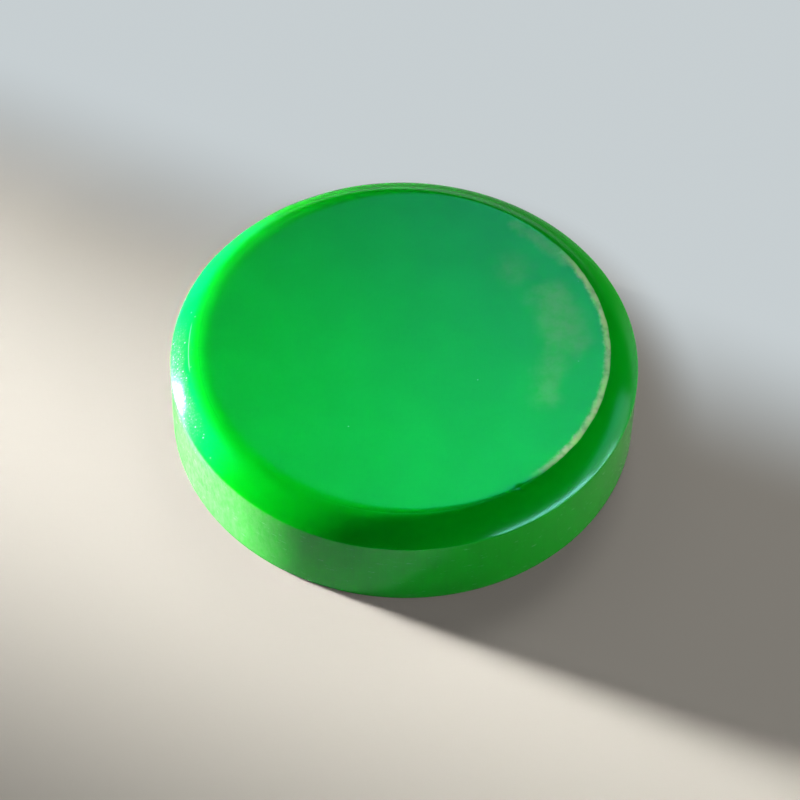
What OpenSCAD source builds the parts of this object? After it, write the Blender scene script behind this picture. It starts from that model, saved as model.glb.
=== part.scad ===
// Round office magnet: a glossy moulded cap over a ferrite disc that is glued in from below.
// Millimetres, +Z up. The origin is at the centre of the underside, on the plane it rests on.

/* [Cap] */
// Diameter over the straight side, the widest part of the cap
cap_d = 20.6; // [16:0.1:40]
// Height from the underside to the crest, the edge round the top face
cap_h = 4.6; // [4.2:0.1:10]
// Width of the rounded bevel between the crest and the side, seen from above
bevel_w = 1.3; // [0.6:0.05:2.4]
// Slope of the bevel where it leaves the crest, in degrees
bevel_top_slope = 22; // [4:1:30]
// Slope of the bevel where it meets the shoulder edge, in degrees
bevel_foot_slope = 48; // [40:1:75]
// Radius of the shoulder edge, where the bevel turns into the side
shoulder_r = 0.08; // [0.04:0.01:0.2]
// Depth of the shallow dish in the top face, at its middle
dish_depth = 0.15; // [0.1:0.05:0.5]
// Thickness of the side wall round the pocket
side_wall = 1.7; // [1:0.1:3]
// Chamfer round the outside of the foot
foot_chamfer = 0.1; // [0.05:0.05:0.4]
// Lead-in chamfer at the mouth of the pocket
mouth_chamfer = 0.3; // [0.1:0.05:0.5]

/* [Magnet] */
// Thickness of the ferrite disc
magnet_t = 3; // [1.5:0.1:3.4]
// How far the face of the disc lies inside the rim of the cap
magnet_recess = 0.15; // [0.05:0.05:0.4]
// Glue gap all round the disc
magnet_gap = 0.1; // [0.05:0.01:0.3]
// Chamfer on both edges of the disc
magnet_chamfer = 0.2; // [0.05:0.05:0.5]

/* [Hidden] */

// Facets round the object, and round the very large circle that shapes the dish
$fn = 180;
dish_facets = 1440;
// How far a cut runs past the face that it opens
past = 1;

cap_r = cap_d / 2;
crest_r = cap_r - bevel_w;

// The bevel is one arc, from its top slope at the crest to its foot slope at the shoulder edge,
// which is a smaller arc that touches both the bevel and the side
slope_span = sin(bevel_foot_slope) - sin(bevel_top_slope);
bevel_r = (bevel_w - shoulder_r * (1 - sin(bevel_foot_slope))) / slope_span;
bevel_reach = bevel_r - shoulder_r;
shoulder_axis_r = cap_r - shoulder_r;
shoulder_axis_z = cap_h - bevel_r * cos(bevel_top_slope) + bevel_reach * cos(bevel_foot_slope);
bevel_axis_r = shoulder_axis_r - bevel_reach * sin(bevel_foot_slope);

// The dish is part of a large sphere that passes through the crest
dish_r = (pow(crest_r, 2) + pow(dish_depth, 2)) / (2 * dish_depth);
dish_axis_z = cap_h - dish_depth + dish_r;

pocket_r = cap_r - side_wall;
pocket_h = magnet_recess + magnet_t;
magnet_r = pocket_r - magnet_gap;

// Disc of the bevel's arc, kept on the crest's side of its joint with the shoulder edge.
// It is drawn about the shoulder's axis, so the two arcs touch exactly.
module bevel_section() {
    rotate(-bevel_foot_slope)
        intersection() {
            translate([0, -bevel_reach]) circle(bevel_r);
            translate([-2 * bevel_r, -2 * bevel_r]) square([2 * bevel_r, 3 * bevel_r]);
        }
}

// Half section of the solid cap, before the pocket is cut
module cap_section() {
    difference() {
        union() {
            square([bevel_axis_r, cap_h + past]);
            translate([shoulder_axis_r, shoulder_axis_z]) {
                circle(shoulder_r);
                translate([-shoulder_axis_r, -shoulder_axis_z]) square([cap_r, shoulder_axis_z]);
                intersection() {
                    bevel_section();
                    translate([-shoulder_axis_r, 0]) square([cap_r, cap_h]);
                }
            }
        }
        translate([0, dish_axis_z]) circle(dish_r, $fn = dish_facets);
        translate([cap_r, 0]) rotate(45) square(foot_chamfer * sqrt(2), center = true);
    }
}

// Round pocket that the disc drops into, with a lead-in at its mouth
module pocket() {
    translate([0, 0, -past]) cylinder(h = pocket_h + past, r = pocket_r);
    translate([0, 0, -past])
        cylinder(h = mouth_chamfer + past, r1 = pocket_r + mouth_chamfer + past, r2 = pocket_r);
}

module cap() {
    color([0.02, 0.66, 0.31])
        difference() {
            rotate_extrude() cap_section();
            pocket();
        }
}

// Pressed and ground ferrite disc, glued to the pocket's ceiling
module magnet_disc() {
    color([0.17, 0.17, 0.18])
        translate([0, 0, magnet_recess])
            rotate_extrude()
                polygon([
                    [0, 0],
                    [magnet_r - magnet_chamfer, 0],
                    [magnet_r, magnet_chamfer],
                    [magnet_r, magnet_t - magnet_chamfer],
                    [magnet_r - magnet_chamfer, magnet_t],
                    [0, magnet_t]
                ]);
}

cap();
magnet_disc();
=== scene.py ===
# Round office magnet seen from above its front edge, on a plain pale floor.
# Metres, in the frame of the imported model: +Z up, +X to the right, +Y away from the camera.
import math

import bmesh
import bpy
from mathutils import Matrix, Quaternion, Vector, noise

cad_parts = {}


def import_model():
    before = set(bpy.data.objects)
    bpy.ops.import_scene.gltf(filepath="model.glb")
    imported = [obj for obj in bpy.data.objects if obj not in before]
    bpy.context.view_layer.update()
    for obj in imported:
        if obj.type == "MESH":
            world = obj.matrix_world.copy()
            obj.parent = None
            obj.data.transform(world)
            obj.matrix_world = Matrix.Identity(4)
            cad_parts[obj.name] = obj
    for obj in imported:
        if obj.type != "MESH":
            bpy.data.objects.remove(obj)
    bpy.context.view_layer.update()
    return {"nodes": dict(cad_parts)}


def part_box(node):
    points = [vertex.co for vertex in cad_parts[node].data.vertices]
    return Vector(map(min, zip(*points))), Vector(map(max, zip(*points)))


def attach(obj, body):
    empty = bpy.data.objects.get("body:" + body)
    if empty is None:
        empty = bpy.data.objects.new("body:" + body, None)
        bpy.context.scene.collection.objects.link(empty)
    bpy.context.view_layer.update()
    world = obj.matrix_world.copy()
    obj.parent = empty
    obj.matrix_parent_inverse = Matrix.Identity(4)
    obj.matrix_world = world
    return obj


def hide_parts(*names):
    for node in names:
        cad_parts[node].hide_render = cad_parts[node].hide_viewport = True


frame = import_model()

MM = 0.001

# Sizes of the cap, in millimetres, repeated from the part; the overall ones are read from the frame
cap_low, cap_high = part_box("cap")
CAP_R = min(-cap_low.x, cap_high.x) / MM
CAP_H = cap_high.z / MM
BEVEL_W = 1.3
BEVEL_TOP_SLOPE = math.radians(22)
BEVEL_FOOT_SLOPE = math.radians(48)
SHOULDER_R = 0.08
DISH_DEPTH = 0.15
SIDE_WALL = 1.7
FOOT_CHAMFER = 0.1
MOUTH_CHAMFER = 0.3
CREST_R = CAP_R - BEVEL_W
POCKET_R = CAP_R - SIDE_WALL
POCKET_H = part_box("magnet_disc")[1].z / MM

# Radius to which the moulded crest is rounded
CREST_ROUND = 0.25
# Angle by which the surface turns at the crest
CREST_ANGLE = BEVEL_TOP_SLOPE + 2 * DISH_DEPTH / CREST_R
SIDEWAYS = math.radians(90)
# Facets round the cap
SEGMENTS = 720


# Meshes

def arc(centre_r, centre_z, radius, slope_from, slope_to, steps):
    """Points of a profile arc, each as radius, height and slope of the surface."""
    points = []
    for i in range(steps + 1):
        slope = slope_from + (slope_to - slope_from) * i / steps
        points.append((centre_r + radius * math.sin(slope), centre_z + radius * math.cos(slope), slope))
    return points


def line(start, end, steps):
    """Evenly spaced points after start, up to and with end, with the slope of the line."""
    slope = math.atan2(start[1] - end[1], end[0] - start[0])
    points = []
    for i in range(1, steps + 1):
        r = start[0] + (end[0] - start[0]) * i / steps
        z = start[1] + (end[1] - start[1]) * i / steps
        points.append((r, z, slope))
    return points


def ring_radii(last):
    """Radii of the rings of the top face: wide apart in the middle, close near the crest."""
    close_from = last - 0.8
    return [close_from * i / 22 for i in range(1, 23)] + [close_from + 0.08 * i for i in range(1, 11)]


def cap_profile():
    """The cap's half section from the middle of the top to the middle of the pocket's ceiling."""
    dish_r = (CREST_R ** 2 + DISH_DEPTH ** 2) / (2 * DISH_DEPTH)
    dish_slope = -math.asin(CREST_R / dish_r)
    bevel_r = (BEVEL_W - SHOULDER_R * (1 - math.sin(BEVEL_FOOT_SLOPE))) / (
        math.sin(BEVEL_FOOT_SLOPE) - math.sin(BEVEL_TOP_SLOPE)
    )
    bevel_axis = (
        CREST_R - bevel_r * math.sin(BEVEL_TOP_SLOPE),
        CAP_H - bevel_r * math.cos(BEVEL_TOP_SLOPE),
    )
    shoulder_axis = (
        CAP_R - SHOULDER_R,
        bevel_axis[1] + (bevel_r - SHOULDER_R) * math.cos(BEVEL_FOOT_SLOPE),
    )
    # The crest's rounding touches the dish and the bevel a little to each side of the edge
    reach = CREST_ROUND * math.tan((BEVEL_TOP_SLOPE - dish_slope) / 2)
    round_axis = (
        CREST_R - reach * math.cos(dish_slope) - CREST_ROUND * math.sin(dish_slope),
        CAP_H + reach * math.sin(dish_slope) - CREST_ROUND * math.cos(dish_slope),
    )
    bevel_start = BEVEL_TOP_SLOPE + reach / bevel_r
    points = []
    for r in ring_radii(CREST_R - reach):
        z = CAP_H - DISH_DEPTH + dish_r - math.sqrt(dish_r ** 2 - r ** 2)
        points.append((r, z, -math.asin(r / dish_r)))
    points += arc(*round_axis, CREST_ROUND, dish_slope, BEVEL_TOP_SLOPE, 6)[1:-1]
    points += arc(*bevel_axis, bevel_r, bevel_start, BEVEL_FOOT_SLOPE, 26)
    points += arc(*shoulder_axis, SHOULDER_R, BEVEL_FOOT_SLOPE, SIDEWAYS, 5)[1:]
    points += line(points[-1], (CAP_R, FOOT_CHAMFER), 24)
    points += line(points[-1], (CAP_R - FOOT_CHAMFER, 0), 3)
    points += line(points[-1], (POCKET_R + MOUTH_CHAMFER, 0), 6)
    points += line(points[-1], (POCKET_R, MOUTH_CHAMFER), 3)
    points += line(points[-1], (POCKET_R, POCKET_H), 8)
    points += line(points[-1], (0.5, POCKET_H), 6)
    return points


def fade(value, full, gone):
    """1 up to full, 0 from gone on, and smooth between."""
    t = min(max((gone - value) / (gone - full), 0), 1)
    return t * t * (3 - 2 * t)


def hump(offset, width):
    """1 at offset 0, and soon nothing beyond width on both sides."""
    return math.exp(-((offset / width) ** 2))


def turned(azimuth, middle):
    """Angle from middle to azimuth, in degrees, the short way round."""
    return (azimuth - middle + 180) % 360 - 180


def wear_depth(r, z, azimuth):
    """How far the outside lies below its true form, in millimetres; azimuth is in degrees."""
    a = math.radians(azimuth)
    spot = Vector((r * math.cos(a), r * math.sin(a), z))
    # The crest is more and more rounded towards the left: a corner of CREST_ANGLE, worn to a radius
    worn_round = 2.2 * fade(abs(turned(azimuth, 195)), 60, 140)
    reach = worn_round * math.tan(CREST_ANGLE / 2)
    depth = max(reach - abs(r - CREST_R), 0) ** 2 / (2 * worn_round + CREST_ROUND)
    # The crest is uneven where it is rubbed, on the right
    rubbed = fade(abs(turned(azimuth, 0)), 38, 56)
    chips = max(noise.noise(spot * 1.3), 0) + 0.6 * max(noise.noise(spot * 3.1), 0)
    depth += hump(r - CREST_R, 0.14) * (0.003 + 0.03 * rubbed * chips)
    # A nick in the crest at the front right
    arc_length = math.radians(turned(azimuth, -56.3)) * CREST_R
    depth += 0.05 * hump(arc_length, 0.13) * hump(r - CREST_R, 0.12)
    # Low lumps along the outer edge at the back left, and much lower ones all round
    lumpy = 0.08 + fade(abs(turned(azimuth, 126)), 12, 24)
    outer = fade(CAP_R - r, 0.15, 0.7) * fade(-z, -3.0, -1.8)
    depth += 0.04 * lumpy * outer * (0.5 + 0.5 * noise.noise(Vector((azimuth * 0.09, 3.7, z * 0.2))))
    # Fine pits in the scuffed band on the left
    scuffed = fade(abs(turned(azimuth, -175)), 22, 36)
    scuffed = scuffed * fade(CAP_R - r, 0.45, 0.75) * fade(-z, -3.4, -2.9)
    depth += 0.012 * scuffed * max(noise.noise(spot * 6.0), 0)
    return depth


def lathe(name, profile, segments):
    """A closed mesh turned round +Z from a half section in millimetres, with a fan at each end."""
    mesh = bmesh.new()
    rings = []
    for r, z, slope in profile:
        outside = r > 0.8 * CREST_R and -SIDEWAYS < slope <= SIDEWAYS + 0.01
        ring = []
        for i in range(segments):
            azimuth = 360 * i / segments
            sunk = wear_depth(r, z, azimuth) if outside else 0.0
            a = math.radians(azimuth)
            worn_r = r - sunk * math.sin(slope)
            worn_z = z - sunk * math.cos(slope)
            spot = (worn_r * math.cos(a) * MM, worn_r * math.sin(a) * MM, worn_z * MM)
            ring.append(mesh.verts.new(spot))
        rings.append(ring)
    for inner, outer in zip(rings, rings[1:]):
        for i in range(segments):
            j = (i + 1) % segments
            mesh.faces.new((inner[i], outer[i], outer[j], inner[j]))
    for ring, z, flip in ((rings[0], CAP_H - DISH_DEPTH, False), (rings[-1], POCKET_H, True)):
        middle = mesh.verts.new((0, 0, z * MM))
        for i in range(segments):
            j = (i + 1) % segments
            mesh.faces.new((middle, ring[j], ring[i]) if flip else (middle, ring[i], ring[j]))
    data = bpy.data.meshes.new(name)
    mesh.to_mesh(data)
    mesh.free()
    piece = bpy.data.objects.new(name, data)
    bpy.context.scene.collection.objects.link(piece)
    for face in data.polygons:
        face.use_smooth = True
    return piece


# Shader nodes

class Nodes:
    """Adds nodes to a material or a world.

    add gives back the new node and split its three outputs. The rest give back one output socket.
    """

    def __init__(self, owner):
        owner.use_nodes = True
        self.owner = owner
        self.tree = owner.node_tree
        self.tree.nodes.clear()

    def add(self, kind, inputs=(), **settings):
        node = self.tree.nodes.new(kind)
        for key, value in settings.items():
            setattr(node, key, value)
        for key, value in dict(inputs).items():
            socket = node.inputs[key]
            if isinstance(value, bpy.types.NodeSocket):
                self.tree.links.new(value, socket)
            else:
                socket.default_value = value
        return node

    def math(self, operation, a, b=0.0, c=0.0, clamp=False):
        node = self.add("ShaderNodeMath", {0: a, 1: b, 2: c}, operation=operation, use_clamp=clamp)
        return node.outputs[0]

    def product(self, first, *others):
        for other in others:
            first = self.math("MULTIPLY", first, other)
        return first

    def largest(self, first, *others):
        for other in others:
            first = self.math("MAXIMUM", first, other)
        return first

    def place(self):
        """Place on the object, in millimetres."""
        coordinates = self.add("ShaderNodeTexCoord").outputs["Object"]
        node = self.add("ShaderNodeVectorMath", {0: coordinates, "Scale": 1 / MM}, operation="SCALE")
        return node.outputs["Vector"]

    def split(self, vector):
        return self.add("ShaderNodeSeparateXYZ", {0: vector}).outputs

    def radius(self, x, y):
        """Distance from the axis of the magnet."""
        return self.math("SQRT", self.math("ADD", self.product(x, x), self.product(y, y)))

    def step(self, value, low, high, out_low=0.0, out_high=1.0):
        """Smooth step from out_low to out_high as value goes from low to high."""
        node = self.add(
            "ShaderNodeMapRange",
            {"Value": value, "From Min": low, "From Max": high, "To Min": out_low, "To Max": out_high},
            interpolation_type="SMOOTHSTEP",
        )
        return node.outputs["Result"]

    def band(self, value, low, high, soft):
        """1 from low to high, with soft ends that are twice soft wide."""
        rise = self.step(value, low - soft, low + soft)
        fall = self.step(value, high - soft, high + soft, 1.0, 0.0)
        return self.product(rise, fall)

    def zone(self, radius, inner, outer, angle, low, high, soft):
        """What sets in from the radius inner to outer, over a band of angles."""
        return self.product(self.step(radius, inner, outer), self.band(angle, low, high, soft))

    def noise(self, vector, scale, detail=2.0, roughness=0.5, output="Fac"):
        node = self.add(
            "ShaderNodeTexNoise",
            {"Vector": vector, "Scale": scale, "Detail": detail, "Roughness": roughness},
        )
        return node.outputs[output]

    def specks(self, vector, scale, share, size):
        """Small round dots, one in the given share of the cells."""
        cells = self.add("ShaderNodeTexVoronoi", {"Vector": vector, "Scale": scale})
        draw = self.split(cells.outputs["Color"])[0]
        chosen = self.step(draw, 1 - share, 1 - share + 0.01)
        dot = self.step(cells.outputs["Distance"], size * 0.5, size, 1.0, 0.0)
        return self.product(chosen, dot)

    def stretch(self, vector, factors):
        node = self.add("ShaderNodeVectorMath", {0: vector, 1: factors}, operation="MULTIPLY")
        return node.outputs["Vector"]

    def shift(self, vector, by, amount):
        """The vector moved by a noise colour about its middle value, by up to half the amount."""
        centred = self.add("ShaderNodeVectorMath", {0: by, 1: (0.5, 0.5, 0.5)}, operation="SUBTRACT")
        scaled = self.add(
            "ShaderNodeVectorMath", {0: centred.outputs["Vector"], "Scale": amount}, operation="SCALE"
        )
        moved = self.add(
            "ShaderNodeVectorMath", {0: vector, 1: scaled.outputs["Vector"]}, operation="ADD"
        )
        return moved.outputs["Vector"]

    def to_segment(self, vector, start, end):
        """Distance to the upright strip above a straight line between two points in plan."""
        a = Vector((*start, 0))
        b = Vector((*end, 0))
        flat = self.stretch(vector, (1, 1, 0))
        offset = self.add("ShaderNodeVectorMath", {0: flat, 1: a}, operation="SUBTRACT")
        from_start = offset.outputs["Vector"]
        along = self.add("ShaderNodeVectorMath", {0: from_start, 1: b - a}, operation="DOT_PRODUCT")
        share = self.math("DIVIDE", along.outputs["Value"], (b - a).length_squared, clamp=True)
        reached = self.add("ShaderNodeVectorMath", {0: b - a, "Scale": share}, operation="SCALE")
        rest = self.add(
            "ShaderNodeVectorMath", {0: from_start, 1: reached.outputs["Vector"]}, operation="DISTANCE"
        )
        return rest.outputs["Value"]

    def mix(self, factor, a, b):
        """Mixes two colours."""
        node = self.add("ShaderNodeMix", {"Factor": factor}, data_type="RGBA")
        for key, value in ((6, a), (7, b)):
            if isinstance(value, bpy.types.NodeSocket):
                self.tree.links.new(value, node.inputs[key])
            else:
                node.inputs[key].default_value = (*value, 1.0)
        return node.outputs[2]

    def bump(self, height, depth):
        """Normal of a surface whose relief is depth millimetres where height goes from 0 to 1."""
        node = self.add("ShaderNodeBump", {"Height": height, "Strength": 1.0, "Distance": depth * MM})
        return node.outputs["Normal"]


def new_material(name):
    return Nodes(bpy.data.materials.new(name))


def finish(nodes, surface, kind="ShaderNodeOutputMaterial"):
    output = nodes.add(kind)
    nodes.tree.links.new(surface, output.inputs["Surface"])
    return nodes.owner


# Finish of the cap

# Colours of the plastic, which is slightly cloudy, of its wear, and of the painted glare and painted
# sheen on its left, where the key light strikes
GREEN = (0.0, 0.405, 0.006)
LIGHTER_GREEN = (0.0, 0.435, 0.008)
DRAGGED = (0.0, 0.3, 0.01)
WORN = (0.55, 0.8, 0.4)
FILM = (0.3, 0.48, 0.24)
PALE_WEAR_AND_GLARE = (0.75, 0.95, 0.72)
PAINTED_SHEEN = (0.0, 0.8, 0.5)
# Tints of its reflections: over the top, over the side, and on the left of the shoulder
TOP_TINT = (0.0, 1.0, 1.0)
SIDE_TINT = (0.3, 1.0, 1.0)
SHOULDER_TINT = (0.7, 0.9, 0.9)
# Specular levels where the plastic is sound and where it is worn dull
SOUND = 0.5
DULL = 0.015


def azimuth_from(n, x, y, middle):
    """Azimuth in degrees, counted from middle, so that its jump is on the far side."""
    c = math.cos(math.radians(middle))
    s = math.sin(math.radians(middle))
    ahead = n.math("ADD", n.product(x, c), n.product(y, s))
    aside = n.math("SUBTRACT", n.product(y, c), n.product(x, s))
    return n.math("DEGREES", n.math("ARCTAN2", aside, ahead))


def rubbed_crest(n, place, radius, right):
    """Pale line where the crest is worn through its gloss, crisp outside and ragged inside."""
    waver = n.math("MULTIPLY_ADD", n.noise(place, 0.9, 3.0), 0.1, -0.05)
    offset = n.math("ADD", n.math("SUBTRACT", radius, CREST_R), waver)
    ragged = n.math("MULTIPLY_ADD", n.noise(place, 3.0, 3.0, 0.6), 0.3, -0.15)
    outer = n.step(offset, 0.0, 0.05, 1.0, 0.0)
    inner = n.step(n.math("ADD", offset, ragged), -0.34, -0.08)
    along = n.band(right, -45, 36, 9)
    patchy = n.step(n.noise(place, 2.2, 3.0), 0.3, 0.55, 0.55, 1.0)
    return n.product(outer, inner, along, patchy)


def smudges(n, place, radius):
    """Soft pale film on the right of the top face, where fingers and paper have dulled it."""
    ragged = n.shift(place, n.noise(place, 0.7, 3.0, 0.6, "Color"), 1.3)
    blots = []
    for start, end, size, strength in (
        ((6.6, 2.9), (7.2, 0.7), 1.45, 1.0),
        ((6.7, 0.2), (6.2, -2.5), 0.95, 0.55),
        ((5.0, 7.1), (7.0, 5.2), 0.55, 0.9),
        ((4.6, 4.7), (4.7, 4.5), 1.2, 0.45),
    ):
        distance = n.to_segment(ragged, start, end)
        blots.append(n.step(distance, 0.1 * size, size, strength, 0.0))
    mottled = n.step(n.noise(place, 1.5, 3.0, 0.6), 0.3, 0.65, 0.5, 1.0)
    on_top = n.step(radius, CREST_R - 0.1, CREST_R, 1.0, 0.0)
    return n.product(n.largest(*blots), mottled, on_top)


def left_scuffs(n, place, radius, z, left):
    """How far the left of the bevel has lost its gloss, and how far it is whitened in specks."""
    ragged = n.math("MULTIPLY_ADD", n.noise(place, 1.4, 3.0, 0.65), 0.5, -0.25)
    reach = n.math("ADD", radius, ragged)
    high = n.step(z, 3.0, 3.5)
    dull = n.product(n.zone(radius, 9.25, 9.55, left, -52, 42, 16), high)
    band = n.product(n.zone(reach, 9.52, 9.88, left, -2, 24, 9), high)
    grain = n.step(n.noise(place, 9.0, 3.0, 0.7), 0.45, 0.6)
    stray = n.product(n.zone(reach, 9.3, 9.55, left, -20, 34, 6), high)
    dots = n.largest(
        n.product(stray, n.specks(place, 5.5, 0.12, 0.28)),
        n.product(band, n.specks(place, 9.0, 0.35, 0.35)),
    )
    return dull, n.largest(n.product(band, grain, 0.11), n.product(dots, 0.4), n.product(band, 0.03))


def painted_side_glare(n, place, z, left):
    """Even pale haze, a painted glare on the left of the side, which faces the key light."""
    grain = n.noise(n.stretch(place, (4, 4, 2)), 1.0, 4.0, 0.75)
    below = n.step(z, 3.6, 3.75, 1.0, 0.0)
    return n.product(n.band(left, -18, 55, 14), below, n.step(grain, 0.3, 0.7, 0.5, 1.0))


def cap_plastic():
    """Glossy green plastic that light enters a little, with the wear of use."""
    n = new_material("cap_plastic")
    place = n.place()
    x, y, z = n.split(place)
    radius = n.radius(x, y)
    right = azimuth_from(n, x, y, 0)
    left = azimuth_from(n, x, y, 180)

    crest = rubbed_crest(n, place, radius, right)
    film = smudges(n, place, radius)
    dull, scuffs = left_scuffs(n, place, radius, z, left)
    # A hair-fine scratch along the left bevel
    from_scratch = n.math("ABSOLUTE", n.math("SUBTRACT", radius, 9.47))
    scratch = n.product(n.step(from_scratch, 0.008, 0.03, 1.0, 0.0), n.band(left, -6, 9, 1.5), 0.2)
    # Dust and tiny knocks, few and far between
    dust = n.product(n.specks(place, 0.9, 0.3, 0.04), 0.15)
    # Fine upright drag marks on the side
    wall = n.product(n.step(radius, CAP_R - 0.04, CAP_R - 0.01), n.step(z, 3.55, 3.65, 1.0, 0.0))
    drag = n.noise(n.stretch(place, (5, 5, 0.5)), 1.0, 3.0, 0.6)
    graze = n.noise(n.stretch(place, (1, 1, 6)), 1.6, 4.0, 0.7)

    # The far rim and the left of the bevel are worn so that they barely shine
    from_back = n.math("ABSOLUTE", n.math("SUBTRACT", right, 88))
    far_rim = n.product(n.step(radius, 9.15, 9.6), n.step(from_back, 62, 98, 1.0, 0.0))
    unworn_edge = n.step(radius, 10.12, 10.22, 1.0, 0.4)
    shine = n.step(n.largest(far_rim, n.product(dull, unworn_edge)), 0.0, 1.0, SOUND, DULL)

    # Colour
    cloud = n.noise(place, 0.35, 2.0)
    green = n.mix(n.step(cloud, 0.3, 0.7), GREEN, LIGHTER_GREEN)
    green = n.mix(n.product(wall, n.step(drag, 0.45, 0.75, 0.0, 0.25)), green, DRAGGED)
    green = n.mix(n.product(film, 0.3), green, FILM)
    # Painted sheen: mint mixed into the left of the bevel, where the key light's broad reflection falls
    painted_sheen = n.product(n.zone(radius, 9.1, 9.6, left, -50, 39, 8), n.step(z, 3.0, 3.5))
    green = n.mix(n.product(painted_sheen, 0.105), green, PAINTED_SHEEN)
    # Painted glare: pale mixed into the left of the side, where the key light falls; the same pale also
    # whitens the scuffs, scratch and dust below
    green = n.mix(n.product(painted_side_glare(n, place, z, left), 0.22), green, PALE_WEAR_AND_GLARE)
    green = n.mix(n.product(crest, 0.85), green, WORN)
    green = n.mix(n.largest(scuffs, scratch, dust), green, PALE_WEAR_AND_GLARE)

    # Roughness, lowest on the side and highest on the wear
    rough = n.step(radius, 9.2, 10.2, 0.19, 0.16)
    for added in (
        n.product(film, 0.04),
        n.product(far_rim, 0.08),
        n.product(wall, n.step(graze, 0.4, 0.7, 0.0, 0.12)),
        n.product(n.largest(crest, scuffs), 0.35),
    ):
        rough = n.math("ADD", rough, added, clamp=True)

    # Relief: slight waviness of the moulding, grain on the side, and wear
    ripple = n.noise(place, 1.1, 2.0)
    fine = n.noise(place, 7.0, 3.0, 0.6)
    relief = n.math("MULTIPLY_ADD", ripple, 0.8, n.product(wall, graze, 0.9))
    relief = n.math("ADD", relief, n.product(fine, 0.1))
    relief = n.math("SUBTRACT", relief, n.product(n.largest(crest, scuffs, scratch), fine, 2.5))

    # The left of the shoulder mirrors almost in white, the rest in the plastic's own tint
    tint = n.mix(n.step(radius, 9.7, 10.25), TOP_TINT, SIDE_TINT)
    edge = n.product(n.step(radius, 10.1, 10.22), n.step(z, 3.55, 3.65), n.band(left, -60, 60, 20))
    tint = n.mix(edge, tint, SHOULDER_TINT)
    surface = n.add(
        "ShaderNodeBsdfPrincipled",
        {
            "Base Color": green,
            "Roughness": rough,
            "IOR": 1.5,
            "Specular IOR Level": shine,
            "Specular Tint": tint,
            "Subsurface Weight": 1.0,
            "Subsurface Radius": (0.3, 1.0, 0.3),
            "Subsurface Scale": 0.65 * MM,
            "Normal": n.bump(relief, 0.002),
        },
        subsurface_method="RANDOM_WALK",
    )
    return finish(n, surface.outputs["BSDF"])


def ferrite():
    """Dark sintered ceramic, ground flat on its faces."""
    n = new_material("ferrite")
    place = n.place()
    grain = n.noise(place, 14.0, 4.0, 0.7)
    grinding = n.noise(n.stretch(place, (0.6, 14, 14)), 1.0, 3.0, 0.6)
    pores = n.specks(place, 3.0, 0.25, 0.12)
    colour = n.mix(n.step(grain, 0.35, 0.65), (0.028, 0.028, 0.031), (0.06, 0.06, 0.065))
    colour = n.mix(n.product(n.step(grinding, 0.5, 0.7), 0.4), colour, (0.11, 0.11, 0.115))
    # The pores are painted darker, as the shade inside them
    colour = n.mix(n.product(pores, 0.7), colour, (0.01, 0.01, 0.01))
    relief = n.math("MULTIPLY_ADD", grinding, 0.6, n.product(grain, 0.4))
    relief = n.math("SUBTRACT", relief, pores)
    surface = n.add(
        "ShaderNodeBsdfPrincipled",
        {
            "Base Color": colour,
            "Roughness": n.step(grinding, 0.3, 0.7, 0.62, 0.42),
            "Normal": n.bump(relief, 0.01),
        },
    )
    return finish(n, surface.outputs["BSDF"])


# The cap's fine mesh stands for the cap; the disc keeps its CAD mesh
cap = lathe("cap_shell", cap_profile(), SEGMENTS)
cap.data.materials.append(cap_plastic())
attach(cap, "root")
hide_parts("cap")
# The photo's ground is too bright to show the green light that the magnet throws on it
cap.visible_diffuse = False

disc = frame["nodes"]["magnet_disc"]
disc.data.materials.clear()
disc.data.materials.append(ferrite())


# Floor

FLOOR = (0.63, 0.59, 0.52)
BACKDROP = (0.57, 0.62, 0.64)
HALF_FLOOR = 3.0
# Where the key light stands; the backdrop begins across its beam, towards the back
KEY_AZIMUTH = 157
KEY_ELEVATION = 9.5


def floor_material():
    """Pale matt floor that turns into the plain backdrop behind the magnet and far from it."""
    n = new_material("pale_floor")
    x, y, _ = n.split(n.place())
    radius = n.radius(x, y)
    aside = math.radians(KEY_AZIMUTH - 90)
    behind = n.math("ADD", n.product(x, math.cos(aside)), n.product(y, math.sin(aside)))
    back = n.product(n.step(behind, 2, 12), n.step(radius, 10.5, 14))
    far = n.step(radius, 40, 90)
    path = n.add("ShaderNodeLightPath").outputs
    seen = n.largest(path["Is Camera Ray"], path["Is Glossy Ray"], path["Is Transmission Ray"])
    matt = n.add(
        "ShaderNodeBsdfPrincipled",
        {"Base Color": (*FLOOR, 1.0), "Roughness": 1.0, "Specular IOR Level": 0.0},
    )
    plain = n.add("ShaderNodeEmission", {"Color": (*BACKDROP, 1.0), "Strength": 1.0})
    share = n.product(n.largest(back, far), seen)
    mixed = n.add("ShaderNodeMixShader", {0: share, 1: matt.outputs[0], 2: plain.outputs[0]})
    return finish(n, mixed.outputs[0])


def floor():
    data = bpy.data.meshes.new("floor")
    corners = [(HALF_FLOOR * x, HALF_FLOOR * y, 0) for x, y in ((-1, -1), (1, -1), (1, 1), (-1, 1))]
    data.from_pydata(corners, [], [(0, 1, 2, 3)])
    piece = bpy.data.objects.new("floor", data)
    bpy.context.scene.collection.objects.link(piece)
    data.materials.append(floor_material())


floor()


# Lights, each given by where it stands as seen from the magnet

def direction(azimuth, elevation):
    """Unit vector; azimuth is counter-clockwise from +X."""
    a, e = math.radians(azimuth), math.radians(elevation)
    return Vector((math.cos(a) * math.cos(e), math.sin(a) * math.cos(e), math.sin(e)))


def beam_share(spread):
    """Share of its full power that a light keeps when it is narrowed to a beam as bright as before."""
    half = math.radians(spread) / 2
    return 1 - half / math.tan(half)


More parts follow.
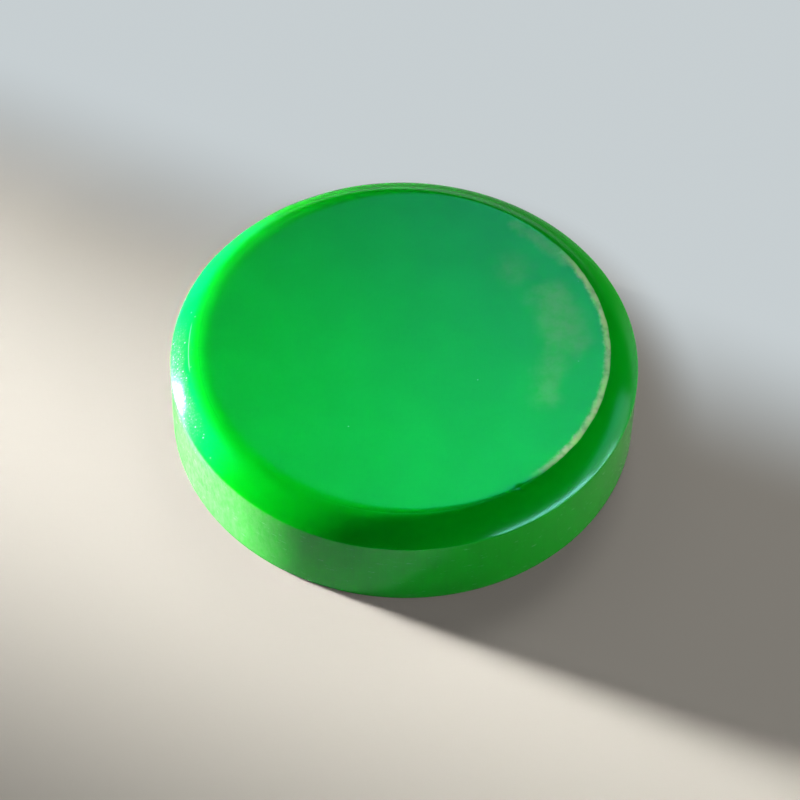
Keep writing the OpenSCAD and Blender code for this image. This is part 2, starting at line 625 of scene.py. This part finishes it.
def lamp(
    name, azimuth, elevation, distance, width, height, radiance, target=(0, 0, 0), spread=180, roll=0
):
    """An area light that faces the target; width, height, spread and roll are angles in degrees."""
    data = bpy.data.lights.new(name, "AREA")
    data.shape = "RECTANGLE"
    data.size = 2 * distance * math.tan(math.radians(width) / 2)
    data.size_y = 2 * distance * math.tan(math.radians(height) / 2)
    data.spread = math.radians(spread)
    data.energy = radiance * 4 * data.size * data.size_y * beam_share(spread)
    light = bpy.data.objects.new(name, data)
    bpy.context.scene.collection.objects.link(light)
    light.location = Vector(target) + direction(azimuth, elevation) * distance
    light.rotation_mode = "QUATERNION"
    facing = (Vector(target) - light.location).to_track_quat("-Z", "Y")
    light.rotation_quaternion = facing @ Quaternion((0, 0, 1), math.radians(roll))
    light.visible_camera = False


# The key's beam is aimed beside the magnet, so that it fades towards the back
KEY_OFFSET = 7.7 * MM
key_target = -direction(KEY_AZIMUTH - 90, 0) * KEY_OFFSET
lamp("key", KEY_AZIMUTH, KEY_ELEVATION, 0.15, 8, 8, 1720, target=key_target, spread=12.3)
lamp("softbox", 72, 53, 0.25, 22, 22, 2.3)
lamp("fill", 125, 42, 0.3, 40, 30, 0.3)
lamp("strip", -28, 21.5, 0.5, 42, 4.5, 12.5, roll=-14)
lamp("low", -14, 9, 0.5, 44, 8, 4.7)
lamp("side", 8, 15, 0.5, 36, 20, 1.2)


# World

DARK = (0.02, 0.02, 0.02)


def world():
    """Dark above, and pale along the horizon as the distant floor."""
    made = bpy.data.worlds.new("studio")
    bpy.context.scene.world = made
    n = Nodes(made)
    height = n.split(n.add("ShaderNodeTexCoord").outputs["Generated"])[2]
    colour = n.mix(n.step(height, 0.0, 0.13), BACKDROP, DARK)
    background = n.add("ShaderNodeBackground", {"Color": colour, "Strength": 1.0})
    finish(n, background.outputs[0], "ShaderNodeOutputWorld")


world()


# Camera, from the photograph's own perspective

CAMERA_PLACE = Vector((0, -86.792, 113.769)) * MM
CAMERA_AIM = Vector((-0.145, -1.263, 2.3)) * MM
CAMERA_ROLL = math.radians(-1.492)
CAMERA_LENS = 143.262


def camera():
    data = bpy.data.cameras.new("camera")
    data.lens = CAMERA_LENS
    data.sensor_width = 36
    data.clip_start = 0.01
    data.clip_end = 100
    view = bpy.data.objects.new("camera", data)
    bpy.context.scene.collection.objects.link(view)
    level = (CAMERA_AIM - CAMERA_PLACE).to_track_quat("-Z", "Y").to_matrix().to_4x4()
    roll = Matrix.Rotation(-CAMERA_ROLL, 4, "Z")
    view.matrix_world = Matrix.Translation(CAMERA_PLACE) @ level @ roll
    bpy.context.scene.camera = view


camera()
bpy.context.scene.view_settings.view_transform = "Standard"
